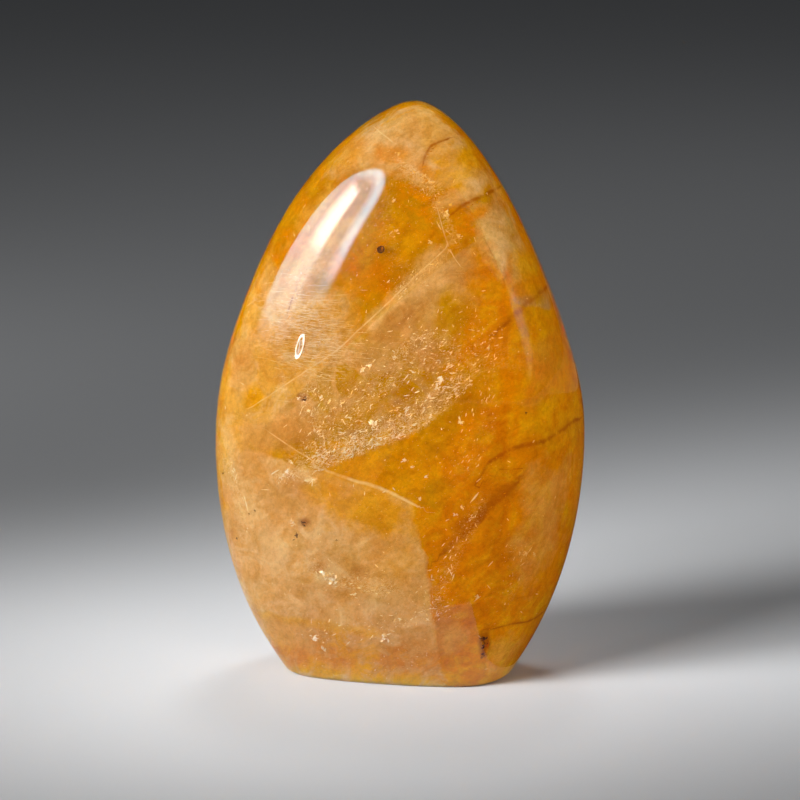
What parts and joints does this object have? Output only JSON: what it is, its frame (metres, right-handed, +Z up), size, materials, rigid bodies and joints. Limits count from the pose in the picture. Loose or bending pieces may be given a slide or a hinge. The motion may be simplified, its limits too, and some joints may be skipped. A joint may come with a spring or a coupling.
{
  "type": "polished golden quartz freeform",
  "caption": "Upright pointed freeform of polished golden quartz, broad at the belly, with a flat sawn base to stand on.",
  "frame": {"origin": "middle of the stone's footprint on the plane of its flat base", "axes": "+Z up from the flat base to the tip, X along the broad width, the broad front face towards -Y"},
  "size_m": [0.0888, 0.0538, 0.14],
  "materials": {
    "quartz": "high polish, clear to milky, warm golden yellow",
    "golden_cloud": "matt cloudy zones sealed in the quartz",
    "fracture_film": "thin glittering films along healed fractures",
    "iron_stain": "rust-coloured films in cracks",
    "dark_mineral": "tiny dark mineral specks"
  },
  "bodies": {
    "root": {"freeform": "quartz"}
  },
  "joints": []
}
